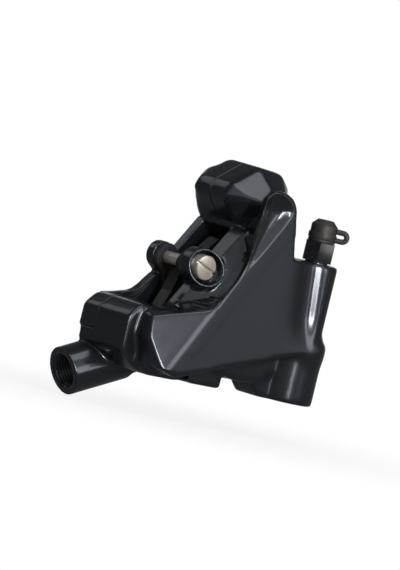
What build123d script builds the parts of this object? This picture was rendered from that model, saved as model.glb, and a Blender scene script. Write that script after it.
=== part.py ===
"""Rear flat-mount hydraulic disc brake caliper, in millimetres.

The origin is midway between the two frame threads, on the mounting face.
+X points forward along the chainstay, +Y points outboard and +Z points away from the frame.
"""

from build123d import *
import math
import os

os.makedirs("parts", exist_ok=True)

# Frame mounting
bolt_spacing = 34.0
frame_thread_d = 5.0
frame_thread_depth = 11.0
foot_r = 7.7
foot_crown = 0.8
rear_foot_h = 14.5
neck_z = 21.0
neck_share = 0.93
foot_round_shares = (0.3, 1, 1, 1, 1)
front_foot_reach = 14.1
front_foot_lift = 2.0
front_foot_back = 2.2
web_back_share = 0.8
web_front_share = 0.4
notch_half = 4.8
notch_slope = 2.3
notch_depth = 2.4

# Places of the pad axle, the pistons and the rotor
axle_x = 15.3
axle_z = 28.2
lean = 55.3
seam_y = -12.5
piston_drop = 18.5
rotor_r = 70.0
rotor_drop = 77.0
rotor_gap = 1.5
slot_width = 4.4

# Pad window and its rails
window_width = 10.2
window_length = 28.5
rail_drop = 2.1
near_rail_width = 6.6
far_rail_width = 2.8
far_rail_share = 1.06
rail_end_shares = (-0.39, 0.535)

# Bridge lobes
cast_round = 2.0
lobe_front_x = 36.2
lobe_front_top = 16.6
lobe_toe = 6.7
lobe_toe_z = 0.3
lobe_heel_z = 4.4
lobe_top_share = 0.905
lobe_rear_share = 0.867
lobe_nose_rise = 6.5
lobe_brow_rise = 7.2
lobe_crown_rise = 3.8
lobe_end_shares = (0.612, 0.735, 1.035)
lobe_far_y = -21.4
lobe_corner = 3.3
lobe_shoulder = 5.6
lobe_reach = 9.4
near_draft = 40.0
far_shoulder = 3.2
far_draft = 42.0
front_corner = 3.2
belly_shares = (0.6, 0.85)
front_round_shares = (1, 1.5, 1.5, 1.5, 0.8)
rail_round_shares = (1.5, 0.7)
top_round_shares = (1.5, 1.5, 1, 1.5, 1.5, 1)
belly_round_shares = (0, 0, 0)

# Outer plate, its ridge and the valley behind the ridge
plate_y = 7.4
plate_lean = 2.6
plate_ridge_drop = 4.4
plate_back_y = -4.0
plate_front_x = 33.0
plate_toe = 8.1
plate_toe_z = 1.0
plate_heel = 3.0
plate_heel_z = 2.4
plate_waist_z = 9.4
plate_neck = 0.8
plate_neck_z = 15.6
plate_top_share = 0.786
plate_rear_share = 0.719
plate_corner_x = 2.8
plate_corner_z = 2.6
plate_foot_z = 13.3
shoulder_z = 34.8
plate_edge_shares = (-0.3, 0.3, 0.8)
plate_round_shares = (0.5, 1.2, 1.5, 1, 2.5, 4, 2.5, 1.5, 1.5, 0.6, 0.3, 1.5)
bevel_angle = 26.5
bevel_end_shares = (-1.8, -0.2)
valley_y = 1.6
valley_drop = 7.6
valley_end_shares = (-0.5, 0.47)
valley_fade_share = 0.5
valley_shift = 1.3
valley_rise = 4.0
valley_ramp_shares = (0.56, 1.0)

# Piston housings and bores
piston_d = 22.0
piston_length = 7.7
piston_clearance = 0.03
bore_depth = 8.0
housing_wall = 2.3
housing_end = 2.2
housing_back = 3.9
piston_well_d = 14.0
piston_well_depth = 5.4
seal_width = 2.0
seal_section = 1.6
seal_setback = 2.6

# Pads
plate_t = 1.5
lining_t = 1.35
pad_height = 20.6
pad_slack = 0.25
tab_width = 6.4
tab_rise = 2.9
tab_shoulder = 2.1
tab_clearance = 0.05
lining_margin = 1.2
lining_bevel = 0.65
pad_gap = 0.05
pad_round = 2.0
pad_end_share = 0.3
pad_low_share = 0.62
plate_corner_shares = (0.6, 0, 1.1, 1.3, 1.3, 1.1, 0, 0.6, 0, 1.5, 1.5, 0)

# Pad axle and its clip
axle_d = 3.0
axle_head_d = 6.1
axle_head_h = 2.9
axle_head_y = -0.9
axle_slot_w = 0.7
axle_slot_depth = 0.9
axle_edge = 0.25
slot_turn = 20.4
axle_tail = 1.5
boss_r = 4.6
boss_setback = 0.9
boss_slope = 24.0
pocket_d = 8.0
ear_r = 3.5
ear_width = 2.8
clip_t = 0.5
clip_r = 2.35
clip_groove = 0.4
clip_mouth = 60.0
clip_gap = 0.3

# Pad spring
spring_t = 0.35
spring_width = 3.8
spring_reach = 11.6
spring_drop = 4.4
spring_arch = 0.8
spring_knee_share = 0.6
spring_step = 0.75
spring_bend_r = 2.0
spring_over_shares = (0.05, 0.05, 1, 0.35, 0.35)
spring_under_shares = (0.35, 0.35, 1)

# Body bolts
body_bolt_d = 5.0
body_bolt_head_d = 7.4
body_bolt_head_h = 4.2
body_bolt_length = 12.4
body_bolt_hex = 3.6
body_bolt_hex_depth = 2.4
bolt_recess = 6.4
top_bolt_t = 22.6
top_bolt_r = -0.6
front_bolt_x = 28.2
front_bolt_z = 12.2
bolt_gap = 0.1

# Fluid passage through the seam
passage_d = 2.2
passage_t = 23.7
passage_r = -6.5
passage_depth = 6.0
passage_seal_d = 4.6
passage_seal_section = 1.2
passage_seal_squash = 0.2

# Hose port
port_x = 39.1
port_y = -16.6
port_z = -4.1
port_pitch = 24.0
port_yaw = -7.0
port_d = 12.0
port_length = 24.0
port_bore_d = 8.0
port_bore_depth = 11.0
port_lead = 0.5
port_step_z = 7.9
port_step_x = 13.5
port_gap = 0.1
shoe_inset = 3.8
shoe_round_shares = (0.25, 1, 1, 0.15, 0.25)
web_round_shares = (0.15, 0.4, 1, 1, 1)

# Bleed nipple
nipple_setback = 0.2
nipple_y = 0.9
nipple_boss_r = 5.5
nipple_thread_d = 6.0
nipple_thread_length = 9.0
nipple_collar_d = 5.6
nipple_collar_h = 0.4
nipple_hex = 7.0
nipple_hex_h = 4.8
hex_turn = 50.0
nipple_spout_d = 4.4
nipple_spout_h = 4.1
nipple_bore_d = 1.6
nipple_bore_floor = 1.8
nipple_point_h = 1.4
nipple_point_d = 3.0
nipple_point_gap = 0.1

# Cap and tether
cap_d = 6.5
cap_h = 4.6
cap_wall = 0.9
cap_bevel = 1.3
cap_band_h = 1.3
cap_band = 0.25
cap_gap = 0.15
tether_w = 2.4
tether_t = 1.2
tether_turn = 138.0
tether_reach = 3.7
tether_fold_h = 3.5
tether_ring_t = 0.9
tether_ring_wall = 1.0

# Allowances
overrun = 3.0
far_beyond = 160.0
touch = 0.02
run_share = 0.48

nipple_x = -bolt_spacing / 2 - nipple_setback
lobe_top_z = axle_z + window_length * lobe_top_share
lobe_rear_x = axle_x - window_length * lobe_rear_share
plate_top_z = axle_z + window_length * plate_top_share
plate_rear_x = axle_x - window_length * plate_rear_share
lean_cos = math.cos(math.radians(lean))
lean_sin = math.sin(math.radians(lean))
window_out_y = seam_y + window_width / 2
window_in_y = seam_y - window_width / 2
near_wall_y = window_out_y + near_rail_width
ear_y = window_in_y - ear_width
piston_r = piston_d / 2
bore_r = piston_r + piston_clearance
housing_r = bore_r + seal_section + housing_wall
bolt_seat_y = lobe_far_y + bolt_recess
thread_bottom = shoulder_z - nipple_thread_length
cap_z = shoulder_z + nipple_collar_h + nipple_hex_h + tether_ring_t + touch * 2
base_up = (Align.CENTER, Align.CENTER, Align.MIN)


def at(t, r):
    """A place given along the rotor's edge (t) and outward from its centre (r), as x and z."""
    return axle_x - lean_cos * t + lean_sin * r, axle_z + lean_sin * t + lean_cos * r


piston_x, piston_z = at(0, -piston_drop)
passage_x, passage_z = at(passage_t, passage_r)
rotor_x, rotor_z = at(0, -rotor_drop)
bolt_places = [at(top_bolt_t, top_bolt_r), (front_bolt_x, front_bolt_z)]


def side_plane(y):
    """The plane across the axle at y, whose x runs forward and y runs up, seen from outboard."""
    return Plane(origin=(0, y, 0), x_dir=(1, 0, 0), z_dir=(0, -1, 0))


def caliper_plane(y):
    """The plane across the axle at y, whose x runs along the rotor's edge and y outward."""
    return Plane(origin=(axle_x, y, axle_z), x_dir=(-lean_cos, 0, lean_sin), z_dir=(0, 1, 0))


def rounded_face(points, radius, shares):
    """A closed outline whose corners are rounded by shares of a radius, as far as each run allows."""
    corners = []
    for i, share in enumerate(shares):
        corner = Vector(*points[i])
        if share == 0:
            corners.append((corner, None, corner))
            continue
        back = Vector(*points[i - 1]) - corner
        ahead = Vector(*points[(i + 1) % len(points)]) - corner
        half = math.radians(back.get_angle(ahead)) / 2
        reach = min(radius * share / math.tan(half), back.length * run_share, ahead.length * run_share)
        round_r = reach * math.tan(half)
        inward = (back.normalized() + ahead.normalized()).normalized()
        middle = corner + inward * (round_r / math.sin(half) - round_r)
        corners.append((corner + back.normalized() * reach, middle, corner + ahead.normalized() * reach))
    edges = []
    for i, (start, middle, end) in enumerate(corners):
        if middle:
            edges.append(ThreePointArc(start, middle, end))
        edges.append(Line(end, corners[(i + 1) % len(corners)][0]))
    return make_face(edges)


def side_prism(points, shares, y_from, y_to):
    """A closed outline of x and z points with cast corners, carried from y_from to y_to."""
    return extrude(side_plane(y_to) * rounded_face(points, cast_round, shares), amount=y_to - y_from)


def rod(x, z, radius, y_from, y_to):
    """A round bar along Y."""
    return extrude(side_plane(y_to) * Pos(x, z) * Circle(radius), amount=y_to - y_from)


def tube(x, z, outer_r, inner_r, y_from, y_to):
    """A ring or sleeve along Y."""
    return rod(x, z, outer_r, y_from, y_to) - rod(x, z, inner_r, y_from, y_to)


def post(x, y, radius, z_from, z_to):
    """A round bar along Z."""
    return Pos(x, y, z_from) * extrude(Circle(radius), amount=z_to - z_from)


def caliper_box(t_size, r_from, r_to, y_from, y_to):
    """A block square to the rotor's edge, centred on the axle along it."""
    face = Pos(0, (r_from + r_to) / 2) * Rectangle(t_size, r_to - r_from)
    return extrude(caliper_plane(y_from) * face, amount=y_to - y_from)


def edge_face(section, t):
    """A closed outline of y and outward points, standing across the rotor's edge."""
    x, z = at(t, 0)
    plane = Plane(origin=(x, 0, z), x_dir=(0, 1, 0), z_dir=(-lean_cos, 0, lean_sin))
    return plane * make_face(Polyline(*[(y, -r) for y, r in section], close=True))


def edge_prism(section, t_from, t_to):
    """The same outline carried along the rotor's edge."""
    return extrude(edge_face(section, t_from), amount=t_to - t_from)


def edge_slab(outline):
    """A closed outline of places along the rotor's edge and of y, carried far outward and inward."""
    along = (-lean_cos, 0, lean_sin)
    inward = (-lean_sin, 0, -lean_cos)
    plane = Plane(origin=(axle_x, 0, axle_z), x_dir=along, z_dir=inward)
    return extrude(plane * make_face(Polyline(*outline, close=True)), amount=far_beyond, both=True)


def front_lobe_corners():
    """The lobe below the window, from its toe forward and up to the window's low end."""
    rail_foot_x = at(window_length * rail_end_shares[0], -rail_drop)[0]
    return [
        (lobe_front_x - lobe_toe, lobe_toe_z),
        (lobe_front_x, lobe_heel_z),
        (lobe_front_x, lobe_front_top - front_corner),
        (lobe_front_x - front_corner, lobe_front_top),
        (rail_foot_x + rail_drop, lobe_front_top),
    ]


def rail_corners():
    """The two ends of the window's rails."""
    return [at(window_length * share, -rail_drop) for share in rail_end_shares]


def top_lobe_corners():
    """The lobe above the window, from its nose over the crown and down to the rear shoulder."""
    nose_t, brow_t, crown_t = [window_length * share for share in lobe_end_shares]
    return [
        at(nose_t, lobe_nose_rise),
        at(brow_t, lobe_brow_rise),
        at(crown_t, lobe_crown_rise),
        (lobe_rear_x + lobe_corner, lobe_top_z),
        (lobe_rear_x, lobe_top_z - lobe_corner),
        (lobe_rear_x, shoulder_z),
    ]


def belly_corners():
    """The underside round the piston housings."""
    return [
        (piston_x - housing_r, piston_z),
        (piston_x - housing_r * belly_shares[0], piston_z - housing_r * belly_shares[1]),
        (piston_x, piston_z - housing_r),
    ]


def seam_prism(y_from, y_to):
    """The outline that both halves share at the seam, from the front lobe round to the rear."""
    points = front_lobe_corners() + rail_corners() + top_lobe_corners() + belly_corners()
    shares = front_round_shares + rail_round_shares + top_round_shares + belly_round_shares
    return side_prism(points, shares, y_from, y_to)


def low_prism(y_from, y_to):
    """The same outline without the lobe above the window."""
    points = front_lobe_corners() + rail_corners() + top_lobe_corners()[-1:] + belly_corners()
    shares = front_round_shares + rail_round_shares + top_round_shares[-1:] + belly_round_shares
    return side_prism(points, shares, y_from, y_to)


def drawn_end(points, sides, y_from, y_to, draft):
    """A flat-sided end of a lobe, whose first few sides are drawn in from y_from to y_to."""
    y_low, y_high = sorted((y_from, y_to))
    end = extrude(side_plane(y_high) * make_face(Polyline(*points, close=True)), amount=y_high - y_low)
    run = y_to - y_from
    inset = abs(run) * math.tan(math.radians(draft))
    for (x, z), (next_x, next_z) in zip(points[:sides], points[1:]):
        way = Vector(next_x - x, 0, next_z - z).normalized()
        start = Vector(x, y_from, z) - way * lobe_top_z
        plane = Plane(origin=start, x_dir=(0, 1, 0), z_dir=way)
        wedge = make_face(Polyline((0, 0), (run, inset), (run, -lobe_top_z), (0, -lobe_top_z), close=True))
        end = end - extrude(plane * wedge, amount=far_beyond)
    return end


def top_lobe_end(y_from, y_to, draft):
    """One end of the lobe above the window."""
    corners = rail_corners()[-1:] + top_lobe_corners()
    return drawn_end(corners + [(piston_x, shoulder_z)], len(corners) - 1, y_from, y_to, draft)


def front_lobe_end(y_from, y_to, draft):
    """One end of the lobe below the window."""
    corners = front_lobe_corners()
    inner = [(piston_x, lobe_front_top), (piston_x, lobe_toe_z)]
    return drawn_end(corners + inner, len(corners) - 1, y_from, y_to, draft)


def rear_column():
    """The upright that carries the rear foot below a neck and the bleed boss above it."""
    waist = nipple_boss_r * neck_share
    profile = [
        (0, 0),
        (foot_r, 0),
        (foot_r, rear_foot_h),
        (waist, neck_z),
        (waist, neck_z + foot_crown),
        (0, neck_z + foot_crown),
    ]
    half = make_face(Polyline(*profile, close=True))
    foot = Pos(-bolt_spacing / 2, 0, 0) * revolve(Plane.XZ * half, Axis.Z)
    return foot + post(nipple_x, nipple_y, nipple_boss_r, rear_foot_h, shoulder_z)


def front_foot():
    """The block under the front frame thread."""
    reach = bolt_spacing / 2 + front_foot_reach
    points = [
        (notch_half, 0),
        (reach - front_foot_back, 0),
        (reach, front_foot_lift),
        (reach, rear_foot_h),
        (notch_half, rear_foot_h),
    ]
    return side_prism(points, foot_round_shares, -foot_r, front_foot_back)


def rear_web():
    """The wall from the rear foot to the notch between the feet."""
    points = [
        (-bolt_spacing / 2, 0),
        (-notch_half - notch_slope, 0),
        (-notch_half, notch_depth),
        (0, rear_foot_h),
        (-bolt_spacing / 2, rear_foot_h),
    ]
    return side_prism(points, web_round_shares, -foot_r * web_back_share, foot_r * web_front_share)


def outer_plate():
    """The thick outer wall, whose long edge runs along the rotor's edge as a ridge."""
    low_t, middle_t, high_t = [window_length * share for share in plate_edge_shares]
    points = [
        (plate_front_x - plate_toe, plate_toe_z),
        (plate_front_x - plate_heel, plate_heel_z),
        (plate_front_x, plate_waist_z),
        (plate_front_x - plate_neck, plate_neck_z),
        at(low_t, -valley_drop),
        at(middle_t, -valley_drop + plate_neck),
        at(high_t, -rail_drop + plate_neck),
        (plate_rear_x + nipple_boss_r, plate_top_z),
        (plate_rear_x + plate_corner_x, plate_top_z - plate_corner_z),
        (plate_rear_x, shoulder_z),
        (nipple_x, shoulder_z),
        (nipple_x, plate_foot_z),
    ]
    plate = side_prism(points, plate_round_shares, plate_back_y, plate_y + plate_lean)
    beyond = plate_y + lobe_top_z
    leaning_face = [
        (plate_y + plate_lean / 2, -overrun),
        (plate_y - plate_lean / 2, lobe_top_z),
        (beyond, lobe_top_z),
        (beyond, -overrun),
    ]
    outside_face = Plane.YZ * make_face(Polyline(*leaning_face, close=True))
    outside = extrude(outside_face, amount=lobe_top_z, both=True)
    bevel_top = lobe_top_z - axle_z
    bevel_back = (bevel_top + plate_ridge_drop) * math.tan(math.radians(bevel_angle))
    front_section = [
        (plate_y + plate_lean / 2, -plate_ridge_drop),
        (plate_y + plate_lean / 2 - bevel_back, bevel_top),
        (beyond, bevel_top),
        (beyond, -plate_ridge_drop),
    ]
    bevel_from, bevel_to = [window_length * share for share in bevel_end_shares]
    return plate - outside - edge_prism(front_section, bevel_from, bevel_to)


def valley():
    """The groove between the near rail and the ridge, open outward."""
    section = [
        (near_wall_y, -rail_drop),
        (valley_y, -valley_drop),
        (plate_y, -plate_ridge_drop),
        (plate_y + lobe_reach, -plate_ridge_drop),
        (plate_y + lobe_reach, lobe_top_z - axle_z),
        (near_wall_y, lobe_top_z - axle_z),
    ]
    low_t, high_t = [window_length * share for share in valley_end_shares]
    fade_t = high_t + window_length * valley_fade_share
    raised = [(y + valley_shift, r + valley_rise) for y, r in section]
    fade = loft([edge_face(section, high_t), edge_face(raised, fade_t)])
    groove = edge_prism(section, low_t, high_t) + fade
    below = Pos(0, 0, lobe_front_top) * extrude(Rectangle(far_beyond, far_beyond), amount=-far_beyond)
    ramp_low_t, ramp_high_t = [window_length * share for share in valley_ramp_shares]
    ramp = [
        (ramp_low_t, near_wall_y - overrun),
        (ramp_high_t, plate_y + plate_lean),
        (far_beyond, plate_y + plate_lean),
        (far_beyond, near_wall_y - overrun),
    ]
    return groove - below - edge_slab(ramp)


def axle_boss():
    """The near ear around the axle's head, its mouth cut to the slope of the rail's outer wall."""
    boss = rod(axle_x, axle_z, boss_r, window_out_y + boss_setback, plate_y)
    reach = boss_r * 2
    rise = math.tan(math.radians(boss_slope)) * reach
    mouth = [
        (axle_head_y + rise, -reach),
        (axle_head_y - rise, reach),
        (plate_y + overrun, reach),
        (plate_y + overrun, -reach),
    ]
    return boss - edge_prism(mouth, -reach, reach)


def hose_port(outer_r):
    """The boss that takes the hose's fitting, as an outer solid and its bore, mouth forward."""
    pitch = math.radians(port_pitch)
    yaw = math.radians(port_yaw)
    way = (math.cos(pitch) * math.cos(yaw), math.cos(pitch) * math.sin(yaw), -math.sin(pitch))
    mouth = Plane(origin=(port_x, port_y, port_z), z_dir=way)
    outer = extrude(mouth * Circle(outer_r), amount=-port_length)
    bore = extrude(mouth.offset(port_lead) * Circle(port_bore_d / 2), amount=-port_bore_depth)
    lead = Pos(0, 0, -port_lead) * Cone(
        port_bore_d / 2, port_bore_d / 2 + port_lead * 2, port_lead * 2, align=base_up
    )
    return outer, bore + mouth * lead


def port_shoe():
    """The block of the outboard half that reaches under the inboard half to the hose port."""
    points = [
        (port_step_x, 0),
        (lobe_front_x - lobe_toe, lobe_toe_z),
        (lobe_front_x, lobe_heel_z),
        (lobe_front_x, port_step_z),
        (port_step_x, port_step_z),
    ]
    return side_prism(points, shoe_round_shares, lobe_far_y + shoe_inset, seam_y + overrun)


def shoe_room():
    """The space under the inboard half for the outboard half's block."""
    back_x = port_step_x - port_gap
    front_x = lobe_front_x + overrun
    top_z = port_step_z + port_gap
    corners = [(back_x, -overrun), (front_x, -overrun), (front_x, top_z), (back_x, top_z)]
    y_to = seam_y + overrun
    room_face = side_plane(y_to) * make_face(Polyline(*corners, close=True))
    return extrude(room_face, amount=y_to - lobe_far_y + overrun)


def pad_cavity():
    """The space that the pads stand in, open outward as the window and inward to the rotor."""
    return caliper_box(window_length, -rotor_drop, lobe_top_z - axle_z, window_in_y, window_out_y)


def rotor_slot():
    """The disc-shaped slot in which the rotor turns."""
    half = slot_width / 2
    return rod(rotor_x, rotor_z, rotor_r + rotor_gap, seam_y - half, seam_y + half)


def piston_space(side):
    """The bore and its seal groove, in the outboard half with side 1 and the inboard with -1."""
    mouth = seam_y + side * window_width / 2
    bore_from, bore_to = sorted((mouth - side * overrun, mouth + side * bore_depth))
    groove_lip = mouth + side * seal_setback
    groove_from, groove_to = sorted((groove_lip, groove_lip + side * seal_width))
    groove = rod(piston_x, piston_z, bore_r + seal_section, groove_from, groove_to)
    return rod(piston_x, piston_z, bore_r, bore_from, bore_to) + groove


def nipple_hole():
    """The bleed screw's thread, and the narrower seat for its point."""
    hole = post(nipple_x, nipple_y, nipple_thread_d / 2 + touch, thread_bottom, shoulder_z + overrun)
    seat_r = nipple_point_d / 2 + nipple_point_gap
    seat_z = thread_bottom - nipple_point_h - nipple_point_gap
    return hole + post(nipple_x, nipple_y, seat_r, seat_z, thread_bottom + touch)


def outboard_body():
    """The half with both feet, the plate, the bleed boss and the hose port."""
    step_y = near_wall_y - lobe_shoulder
    body = seam_prism(seam_y, step_y) + low_prism(step_y - overrun, near_wall_y)
    body = body + top_lobe_end(step_y, step_y + lobe_reach, near_draft)
    body = body + outer_plate() + rear_column() + front_foot() + rear_web()
    body = body + rod(piston_x, piston_z, housing_r, window_out_y, plate_y - housing_back)
    port, port_bore = hose_port(port_d / 2)
    body = body + port + port_shoe()
    body = body - valley() + axle_boss()
    body = body - pad_cavity() - rotor_slot() - piston_space(1) - port_bore - nipple_hole()
    body = body - rod(axle_x, axle_z, axle_d / 2 + touch, window_out_y - overrun, plate_y)
    body = body - rod(axle_x, axle_z, pocket_d / 2, axle_head_y - axle_head_h, plate_y + overrun)
    for x in (-bolt_spacing / 2, bolt_spacing / 2):
        body = body - post(x, 0, frame_thread_d / 2, -overrun, frame_thread_depth)
    bolt_end_y = bolt_seat_y + body_bolt_length + bolt_gap
    for x, z in bolt_places:
        body = body - rod(x, z, body_bolt_d / 2 + touch, seam_y - overrun, bolt_end_y)
    return body - rod(passage_x, passage_z, passage_d / 2, seam_y - overrun, seam_y + passage_depth)


def far_housing(rail_y):
    """The second piston's housing, its outer side sloped down and away from the far rail."""
    end_y = window_in_y - bore_depth - housing_end
    fall = (rail_y - end_y) * math.tan(math.radians(far_draft))
    slope = [
        (rail_y, -piston_drop + housing_r),
        (end_y, -piston_drop + housing_r - fall),
        (end_y - overrun, -piston_drop + housing_r - fall),
        (end_y - overrun, lobe_nose_rise),
        (rail_y, lobe_nose_rise),
    ]
    return rod(piston_x, piston_z, housing_r, end_y, window_in_y) - edge_prism(slope, -housing_r, housing_r)


def inboard_body():
    """The far half: its lobes, the far rail with the axle's ear, and the second piston's housing."""
    step_y = lobe_far_y + far_shoulder
    body = seam_prism(step_y, seam_y)
    body = body + top_lobe_end(step_y, lobe_far_y, far_draft) + front_lobe_end(step_y, lobe_far_y, far_draft)
    rail_y = window_in_y - far_rail_width
    body = body + caliper_box(window_length * far_rail_share, -piston_drop, -rail_drop, rail_y, window_in_y)
    body = body + far_housing(rail_y)
    body = body + rod(axle_x, axle_z, ear_r, ear_y, window_in_y)
    body = body + caliper_box(ear_r * 2, -ear_r * 2, 0, ear_y, window_in_y)
    port_room, port_bore = hose_port(port_d / 2 + port_gap)
    body = body - pad_cavity() - rotor_slot() - piston_space(-1) - port_room - shoe_room()
    body = body - rod(axle_x, axle_z, axle_d / 2 + touch, ear_y - overrun, window_in_y + overrun)
    body = body - rod(axle_x, axle_z, clip_r + clip_gap, ear_y - overrun, ear_y)
    for x, z in bolt_places:
        body = body - rod(x, z, body_bolt_d / 2 + touch, bolt_seat_y - overrun, seam_y + overrun)
        body = body - rod(x, z, body_bolt_head_d / 2 + bolt_gap, lobe_far_y - housing_r, bolt_seat_y)
    body = body - rod(passage_x, passage_z, passage_d / 2, seam_y - passage_depth, seam_y + overrun)
    groove_r = passage_seal_d / 2 + touch
    return body - rod(passage_x, passage_z, groove_r, seam_y - passage_seal_section, seam_y + overrun)


def body_bolts():
    """Two socket-head bolts, put in from the inboard side."""
    head_y = bolt_seat_y - body_bolt_head_h
    socket_plane = side_plane(head_y + body_bolt_hex_depth)
    bolts = []
    for x, z in bolt_places:
        head = rod(x, z, body_bolt_head_d / 2, head_y, bolt_seat_y - touch)
        shank = rod(x, z, body_bolt_d / 2, head_y, bolt_seat_y + body_bolt_length)
        socket_face = socket_plane * Pos(x, z) * RegularPolygon(body_bolt_hex / 2, 6, major_radius=False)
        bolts.append(head + shank - extrude(socket_face, amount=body_bolt_hex_depth + overrun))
    return Compound(children=bolts)


def passage_seal():
    """The ring that seals the fluid passage where it crosses the seam."""
    y_from = seam_y - passage_seal_section + touch
    inner_r = passage_d / 2 + passage_seal_squash
    return tube(passage_x, passage_z, passage_seal_d / 2, inner_r, y_from, seam_y - touch)


def piston_seal(side):
    """A square-section seal in its groove."""
    mouth = seam_y + side * window_width / 2
    lip = mouth + side * (seal_setback + touch)
    back = mouth + side * (seal_setback + seal_width - touch)
    y_from, y_to = sorted((lip, back))
    return tube(piston_x, piston_z, bore_r + seal_section - touch, bore_r, y_from, y_to)


def piston(side):
    """A cup piston with a deep well toward the pad."""
    nose_y = seam_y + side * window_width / 2
    y_from, y_to = sorted((nose_y, nose_y + side * piston_length))
    cup = rod(piston_x, piston_z, piston_r, y_from, y_to)
    y_from, y_to = sorted((nose_y - side * overrun, nose_y + side * piston_well_depth))
    return cup - rod(piston_x, piston_z, piston_well_d / 2, y_from, y_to)


def pad_plate(side):
    """A pad's steel back plate, with the tab that hangs on the axle."""
    half = window_length / 2 - pad_slack
    tab = tab_width / 2
    top = rotor_r - rotor_drop
    low = top - pad_height
    end_low = low + pad_height * pad_end_share
    outline = [
        (-half, top),
        (-tab - tab_rise, top),
        (-tab, -tab_shoulder),
        (-tab, tab_rise),
        (tab, tab_rise),
        (tab, -tab_shoulder),
        (tab + tab_rise, top),
        (half, top),
        (half, end_low),
        (half * pad_low_share, low),
        (-half * pad_low_share, low),
        (-half, end_low),
    ]
    face = rounded_face(outline, pad_round, plate_corner_shares)
    back = seam_y + side * (window_width / 2 - pad_gap)
    y_from, y_to = sorted((back, back - side * plate_t))
    plate = extrude(caliper_plane(y_from) * face, amount=y_to - y_from)
    return plate - rod(axle_x, axle_z, axle_d / 2 + tab_clearance, y_from - overrun, y_to + overrun)


def pad_lining(side):
    """The friction block on a back plate, with bevelled edges."""
    half = window_length / 2 - pad_slack - lining_margin
    top = rotor_r - rotor_drop - lining_margin
    low = top - pad_height + lining_margin * 2
    end_low = low + pad_height * pad_end_share
    outline = [
        (-half, top),
        (half, top),
        (half, end_low),
        (half * pad_low_share, low),
        (-half * pad_low_share, low),
        (-half, end_low),
    ]
    face = make_face(Polyline(*outline, close=True))
    back = seam_y + side * (window_width / 2 - pad_gap - plate_t)
    y_from, y_to = sorted((back, back - side * lining_t))
    lining = extrude(caliper_plane(y_from) * face, amount=y_to - y_from)
    rubbing_edges = lining.edges().group_by(Axis.Y)[0 if side > 0 else -1]
    return chamfer(rubbing_edges, lining_bevel)


def pad_spring():
    """The sheet spring trapped between the pads: a bridge under the axle with an arm to each side."""
    bridge_r = -axle_d / 2 - touch
    knee_r = -spring_drop + spring_arch
    over = [
        (spring_reach, -spring_drop - spring_t),
        (spring_reach, -spring_drop),
        (spring_reach * spring_knee_share, knee_r),
        (axle_d, bridge_r - spring_step),
        (axle_d / 2, bridge_r),
    ]
    under = [
        (axle_d / 2, bridge_r - spring_t),
        (axle_d, bridge_r - spring_step - spring_t),
        (spring_reach * spring_knee_share, knee_r - spring_t),
    ]
    left_over = [(-t, r) for t, r in over]
    left_under = [(-t, r) for t, r in reversed(under)]
    outline = left_over + over[::-1] + under[::-1] + left_under[::-1]
    shares = spring_over_shares + spring_over_shares[::-1] + spring_under_shares[::-1] + spring_under_shares
    face = rounded_face(outline, spring_bend_r, shares)
    return extrude(caliper_plane(seam_y - spring_width / 2) * face, amount=spring_width)


def axle_groove():
    """The groove that the snap clip sits in."""
    inner_r = axle_d / 2 - clip_groove
    return tube(axle_x, axle_z, axle_d, inner_r, ear_y - touch - clip_t, ear_y)


def pad_axle():
    """The slotted pin that the pads hang on."""
    head_back = axle_head_y - axle_head_h
    head = rod(axle_x, axle_z, axle_head_d / 2, head_back + touch, axle_head_y)
    head = chamfer(head.edges().group_by(Axis.Y)[-1], axle_edge)
    shaft = rod(axle_x, axle_z, axle_d / 2, ear_y - axle_tail, head_back + axle_edge)
    slot_face = Rot(0, 0, slot_turn) * Rectangle(axle_head_d * 2, axle_slot_w)
    slot_plane = side_plane(axle_head_y + overrun) * Pos(axle_x, axle_z)
    slot = extrude(slot_plane * slot_face, amount=axle_slot_depth + overrun)
    return head + shaft - slot - axle_groove()


def axle_clip():
    """The snap clip in the groove at the axle's inboard end, open on one side."""
    clip_y = ear_y - touch
    inner_r = axle_d / 2 - clip_groove + touch
    ring = tube(axle_x, axle_z, clip_r, inner_r, clip_y - clip_t + touch, clip_y)
    wedge = math.radians(clip_mouth / 2)
    far = axle_d * math.cos(wedge)
    wide = axle_d * math.sin(wedge)
    mouth = make_face(Polyline((0, 0), (far, wide), (far, -wide), close=True))
    return ring - extrude(caliper_plane(clip_y - overrun) * mouth, amount=overrun * 2)


def bleed_nipple():
    """The hexagonal bleed screw, with its cone seat below and its spout above."""
    hex_z = shoulder_z + nipple_collar_h
    top_z = hex_z + nipple_hex_h
    spout_z = top_z + nipple_spout_h
    here = Pos(nipple_x, nipple_y, 0)
    point = post(nipple_x, nipple_y, nipple_point_d / 2, thread_bottom - nipple_point_h, thread_bottom)
    thread = post(nipple_x, nipple_y, nipple_thread_d / 2, thread_bottom, shoulder_z)
    collar = post(nipple_x, nipple_y, nipple_collar_d / 2, shoulder_z, hex_z)
    hex_face = Rot(0, 0, hex_turn) * RegularPolygon(nipple_hex / 2, 6, major_radius=False)
    head = here * Pos(0, 0, hex_z) * extrude(hex_face, amount=nipple_hex_h)
    spout = post(nipple_x, nipple_y, nipple_spout_d / 2, top_z, spout_z)
    bore = post(nipple_x, nipple_y, nipple_bore_d / 2, thread_bottom + nipple_bore_floor, spout_z + overrun)
    return point + thread + collar + head + spout - bore


def bleed_cap():
    """The rubber cap over the spout, with a thicker band at its mouth."""
    body = post(nipple_x, nipple_y, cap_d / 2, cap_z, cap_z + cap_h)
    body = chamfer(body.edges().group_by(Axis.Z)[-1], cap_bevel)
    band = post(nipple_x, nipple_y, cap_d / 2 + cap_band, cap_z, cap_z + cap_band_h)
    inner_r = nipple_spout_d / 2 + cap_gap
    return body + band - post(nipple_x, nipple_y, inner_r, cap_z - overrun, cap_z + cap_h - cap_wall)


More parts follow.
